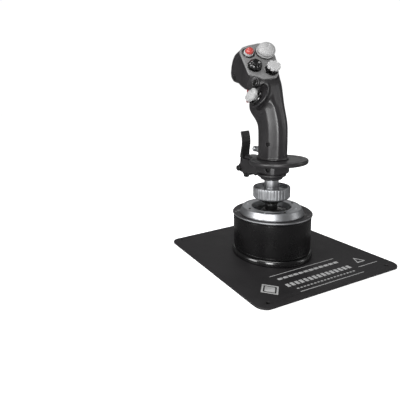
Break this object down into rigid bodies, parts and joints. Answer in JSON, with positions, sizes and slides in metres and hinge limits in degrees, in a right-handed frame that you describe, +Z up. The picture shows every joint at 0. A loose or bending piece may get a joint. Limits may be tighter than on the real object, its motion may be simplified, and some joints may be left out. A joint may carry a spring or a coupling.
{
  "type": "flight joystick",
  "caption": "Desk-top flight joystick with a right-hand pistol grip, hats, trigger and front paddle, on a gimballed round base fixed to a square steel plate.",
  "frame": {"origin": "centre of the underside, on the surface it stands on", "axes": "+Z up, +Y forward (away from the pilot), +X to the pilot's right"},
  "size_m": [0.22, 0.22, 0.3045],
  "materials": {
    "plate_black": "matt textured black powder coat",
    "body_black": "satin black anodised metal",
    "cover_grey": "dark grey satin paint",
    "grip_black": "charcoal satin paint over cast metal",
    "face_grey": "mid grey satin paint",
    "bright_metal": "turned bright metal",
    "nut_metal": "fluted bright anodised aluminium",
    "dark_screw": "blackened steel",
    "inner_steel": "plain steel",
    "pale_plastic": "pale grey moulded plastic",
    "mid_plastic": "grey moulded plastic",
    "black_plastic": "black moulded plastic",
    "gloss_black": "glossy black plastic",
    "red_plastic": "red plastic button",
    "trigger_red": "dark red plastic",
    "board_green": "circuit board laminate",
    "pad_rubber": "black non-slip rubber"
  },
  "bodies": {
    "base": {"non_slip_pad": "pad_rubber", "mount_plate": "plate_black", "base_foot_ring": "body_black", "plate_screw_1": "inner_steel", "plate_screw_2": "inner_steel", "plate_screw_3": "inner_steel", "plate_screw_4": "inner_steel", "base_housing": "body_black", "cable_gland": "pad_rubber", "top_cover": "cover_grey", "bezel_ring": "bright_metal", "bezel_screw_1": "bright_metal", "bezel_screw_2": "bright_metal", "bezel_screw_3": "bright_metal", "bezel_screw_4": "bright_metal", "gimbal_socket": "inner_steel", "sensor_pillar": "inner_steel", "hall_sensor": "black_plastic", "main_board": "board_green", "centering_spring": "inner_steel", "spring_plate": "inner_steel"},
    "gimbal": {"gimbal_ring": "inner_steel"},
    "stick": {"gimbal_ball": "black_plastic", "sensor_magnet": "inner_steel", "stick_post": "inner_steel", "thread_hub": "inner_steel", "grip_shaft": "bright_metal", "neck_ring": "grip_black", "neck_block": "grip_black", "neck_screw": "dark_screw", "hand_rest": "grip_black", "grip_left_half": "grip_black", "grip_right_half": "grip_black", "grip_screw": "dark_screw", "nose_screw": "dark_screw", "grip_board": "board_green", "face_plate": "face_grey", "trim_hat_skirt": "mid_plastic", "side_hat_collar": "black_plastic", "release_collar": "mid_plastic", "trigger_pin": "inner_steel", "pinky_sleeve": "black_plastic", "paddle_bracket": "grip_black", "paddle_pivot_pin": "dark_screw", "paddle_stop_pin": "dark_screw"},
    "collar_nut": {"collar_nut": "nut_metal"},
    "trigger": {"trigger": "trigger_red"},
    "paddle": {"paddle_lever": "black_plastic"},
    "release_button": {"release_button": "red_plastic"},
    "mode_button": {"mode_button": "black_plastic"},
    "pinky_button": {"pinky_button": "bright_metal"},
    "trim_hat_yoke": {"trim_hat_yoke": "inner_steel"},
    "trim_hat": {"trim_hat": "pale_plastic"},
    "black_hat_yoke": {"black_hat_yoke": "inner_steel"},
    "black_hat": {"black_hat": "gloss_black"},
    "castle_hat_yoke": {"castle_hat_yoke": "inner_steel"},
    "castle_hat": {"castle_hat": "mid_plastic"},
    "side_hat_plunger": {"side_hat_plunger": "inner_steel"},
    "side_hat_yoke": {"side_hat_yoke": "inner_steel"},
    "side_hat": {"side_hat": "pale_plastic"}
  },
  "joints": [
    {"name": "stick_pitch", "type": "hinge", "parent": "base", "child": "gimbal", "pos_m": [0, 0, 0.054], "axis": [1, 0, 0], "range_deg": [-15, 15], "stiffness_Nm_per_rad": 25},
    {"name": "stick_roll", "type": "hinge", "parent": "gimbal", "child": "stick", "pos_m": [0, 0, 0.054], "axis": [0, 1, 0], "range_deg": [-15, 15], "stiffness_Nm_per_rad": 25},
    {"name": "collar_nut_turn", "type": "hinge", "parent": "stick", "child": "collar_nut", "pos_m": [0, 0, 0.097], "axis": [0, 0, 1], "continuous": true},
    {"name": "trigger_pull", "type": "hinge", "parent": "stick", "child": "trigger", "pos_m": [0, 0.044, 0.256], "axis": [-1, 0, 0], "range_deg": [0, 8], "stiffness_Nm_per_rad": 0.6},
    {"name": "paddle_pull", "type": "hinge", "parent": "stick", "child": "paddle", "pos_m": [0, 0.058, 0.124], "axis": [1, 0, 0], "range_deg": [0, 8], "stiffness_Nm_per_rad": 0.8},
    {"name": "release_button_press", "type": "slide", "parent": "stick", "child": "release_button", "axis": [0.136, 0.7688, -0.6249], "range_m": [0, 0.0022], "stiffness_N_per_m": 700},
    {"name": "mode_button_press", "type": "slide", "parent": "stick", "child": "mode_button", "axis": [0.9524, 0.0501, -0.3008], "range_m": [0, 0.0012], "stiffness_N_per_m": 700},
    {"name": "pinky_button_press", "type": "slide", "parent": "stick", "child": "pinky_button", "axis": [0, -1, 0], "range_m": [0, 0.0024], "stiffness_N_per_m": 700},
    {"name": "trim_hat_side", "type": "hinge", "parent": "stick", "child": "trim_hat_yoke", "pos_m": [0.01103, 0.03214, 0.28656], "axis": [0.1087, 0.6153, 0.7807], "range_deg": [-6, 6], "stiffness_Nm_per_rad": 0.25},
    {"name": "trim_hat_updown", "type": "hinge", "parent": "trim_hat_yoke", "child": "trim_hat", "pos_m": [0.01103, 0.03214, 0.28656], "axis": [0.9848, -0.174, 0], "range_deg": [-6, 6], "stiffness_Nm_per_rad": 0.25},
    {"name": "black_hat_side", "type": "hinge", "parent": "stick", "child": "black_hat_yoke", "pos_m": [-0.01495, 0.02188, 0.26829], "axis": [0.1087, 0.6153, 0.7807], "range_deg": [-7, 7], "stiffness_Nm_per_rad": 0.25},
    {"name": "black_hat_updown", "type": "hinge", "parent": "black_hat_yoke", "child": "black_hat", "pos_m": [-0.01495, 0.02188, 0.26829], "axis": [0.9848, -0.174, 0], "range_deg": [-7, 7], "stiffness_Nm_per_rad": 0.25},
    {"name": "castle_hat_side", "type": "hinge", "parent": "stick", "child": "castle_hat_yoke", "pos_m": [0.00473, 0.01257, 0.2611], "axis": [0.1087, 0.6153, 0.7807], "range_deg": [-7, 7], "stiffness_Nm_per_rad": 0.25},
    {"name": "castle_hat_updown", "type": "hinge", "parent": "castle_hat_yoke", "child": "castle_hat", "pos_m": [0.00473, 0.01257, 0.2611], "axis": [0.9848, -0.174, 0], "range_deg": [-7, 7], "stiffness_Nm_per_rad": 0.25},
    {"name": "side_hat_press", "type": "slide", "parent": "stick", "child": "side_hat_plunger", "axis": [0.843, -0.0803, -0.5319], "range_m": [0, 0.001], "stiffness_N_per_m": 700},
    {"name": "side_hat_side", "type": "hinge", "parent": "side_hat_plunger", "child": "side_hat_yoke", "pos_m": [-0.01657, 0.00811, 0.22789], "axis": [0.5295, -0.0504, 0.8468], "range_deg": [-6, 6], "stiffness_Nm_per_rad": 0.25},
    {"name": "side_hat_updown", "type": "hinge", "parent": "side_hat_yoke", "child": "side_hat", "pos_m": [-0.01657, 0.00811, 0.22789], "axis": [-0.0948, -0.9955, 0], "range_deg": [-6, 6], "stiffness_Nm_per_rad": 0.25}
  ]
}
